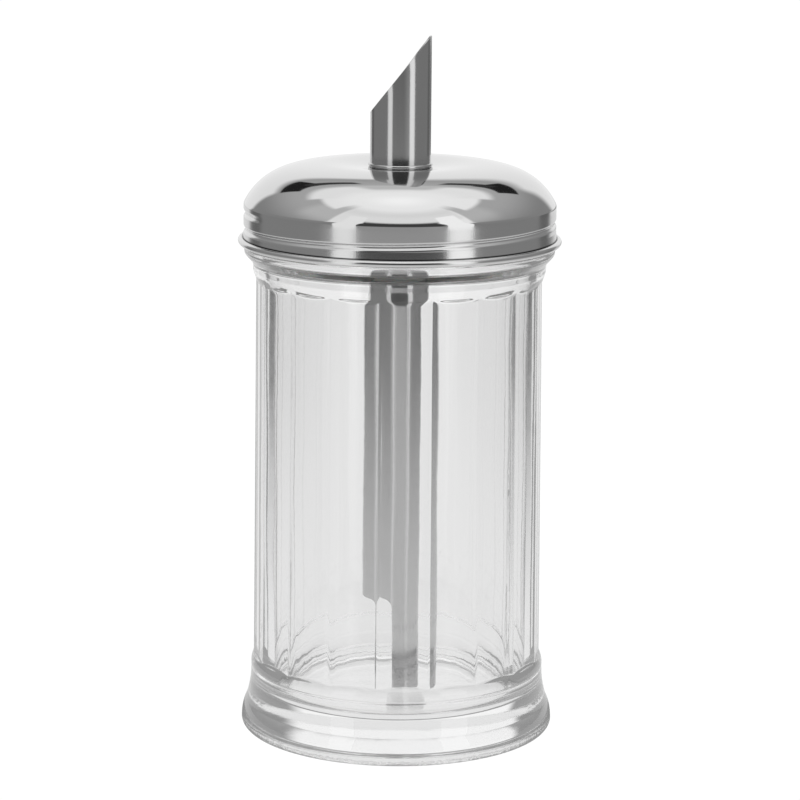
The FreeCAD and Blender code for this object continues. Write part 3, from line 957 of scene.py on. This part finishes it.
# %% [markdown]
# The rest of the room is painted on the world, in the same way: grey walls that get paler as
# they rise, softboxes, and the dark screens that give polished steel its edges. Brightness is
# given as the grey that steel mirrors, because that is what one looks at when placing a lamp.

# %% What stands in the room
# plan angle, half width, elevation from and to, brightness in the steel, soft edge (degrees)
ROOM = (
    (-75, 22, 38, 70, 174, 8),      # pale side walls
    (72, 20, 38, 70, 172, 8),
    (-104, 28, 56.5, 80, 222, 2),   # side softboxes, high up
    (104, 28, 56, 80, 226, 2),
    (0, 33, -20, 45, 58, 1.5),      # dark screen behind the camera
    (-48, 14, 30, 62, 216, 1.5),    # softboxes on either side of it
    (49, 14, 30, 62, 226, 1.5),
    (0, 61, 46.5, 80, 214, 1.5),    # front softbox, over the camera
    (0, 61, 57, 80, 208, 4),
    (-165, 25, -20, 29.5, 212, 3),  # white backdrop, behind the jar
    (172, 24, -20, 29.5, 212, 5),
    (-155, 40, 50, 80, 218, 3),     # back softboxes
    (157, 38, 50, 80, 220, 3),
    (180, 14, 48, 60, 178, 4),      # gap between them, on both sides of the half turn
    (-180, 14, 48, 60, 178, 4),
    (-150, 11, 32.5, 43.5, 30, 0.7),  # black rails over the backdrop
    (150, 11, 33.5, 44.5, 30, 0.7),
    (-163, 9, 39, 43.5, 50, 0.7),
    (163, 9, 39, 43.5, 50, 0.7),
)
WALL_GREY = 122
CLIMBS = ((60, 72, 228), (72, 90, 240))  # the ceiling: elevation from and to, brightness
print("the room has", len(ROOM), "patches")

# %% [markdown]
# The world's Generated coordinates are the direction that a ray leaves in, so the plan angle and
# the elevation come straight from them. The camera itself sees the white sweep.

# %% Paint the room
world = bpy.data.worlds.new("room")
bpy.context.scene.world = world
world.use_nodes = True
room_tree = world.node_tree
room_tree.nodes.clear()
sky = add(room_tree, "ShaderNodeTexCoord").outputs["Generated"]
room_plan = seen_from_jar(room_tree, sky)
upward = add(room_tree, "ShaderNodeSeparateXYZ", {"Vector": sky}).outputs["Z"]
steep = add(room_tree, "ShaderNodeMath", {0: upward}, operation="ARCSINE").outputs[0]
rise = add(room_tree, "ShaderNodeMath", {0: steep}, operation="DEGREES").outputs[0]


def climb(low, high, under, shown):
    """Brightness that changes with elevation from what is under it."""
    share = add(room_tree, "ShaderNodeMapRange", {"Value": rise, "From Min": low, "From Max": high},
                interpolation_type="SMOOTHSTEP")
    return blend(room_tree, share.outputs[0], under, lamp_level(shown))


level = climb(15, 48, lamp_level(WALL_GREY), 158)
for turn, turn_half, low, high, shown, edge in ROOM:
    rise_range = ((low + high) / 2, (high - low) / 2, edge)
    level = overlap(room_tree, room_plan, (turn, turn_half, edge), rise, rise_range, level, lamp_level(shown))
for low, high, shown in CLIMBS:
    level = climb(low, high, level, shown)
to_camera = add(room_tree, "ShaderNodeLightPath").outputs["Is Camera Ray"]
level = blend(room_tree, to_camera, level, SWEEP_WHITE)
room = add(room_tree, "ShaderNodeBackground", {"Color": linear("#ffffff"), "Strength": level})
add(room_tree, "ShaderNodeOutputWorld", {"Surface": room.outputs[0]})
bpy.context.scene.view_settings.view_transform = "Standard"
print("room painted with", len(room_tree.nodes), "nodes")

# %% [markdown]
# The camera stands three quarters of a metre away with a long lens, a little above the spout, so
# the foot is seen more from above than the lid is.

# %% Camera
LENS, FILM_WIDTH = 141.30, 36
camera_data = bpy.data.cameras.new("camera")
camera_data.lens = LENS
camera_data.sensor_width = FILM_WIDTH
camera_data.clip_start = 0.01
camera = bpy.data.objects.new("camera", camera_data)
bpy.context.scene.collection.objects.link(camera)
turn = math.radians(CAMERA_TURN)
camera.matrix_world = (Matrix.Translation(around(0, CAMERA_FAR, CAMERA_HIGH))
                       @ Matrix.Rotation(turn + math.radians(CAMERA_AIM), 4, "Z")
                       @ Matrix.Rotation(math.radians(90 - CAMERA_PITCH), 4, "X")
                       @ Matrix.Rotation(math.radians(CAMERA_ROLL), 4, "Z"))
bpy.context.scene.camera = camera
print("camera at", [round(c, 3) for c in camera.matrix_world.translation])
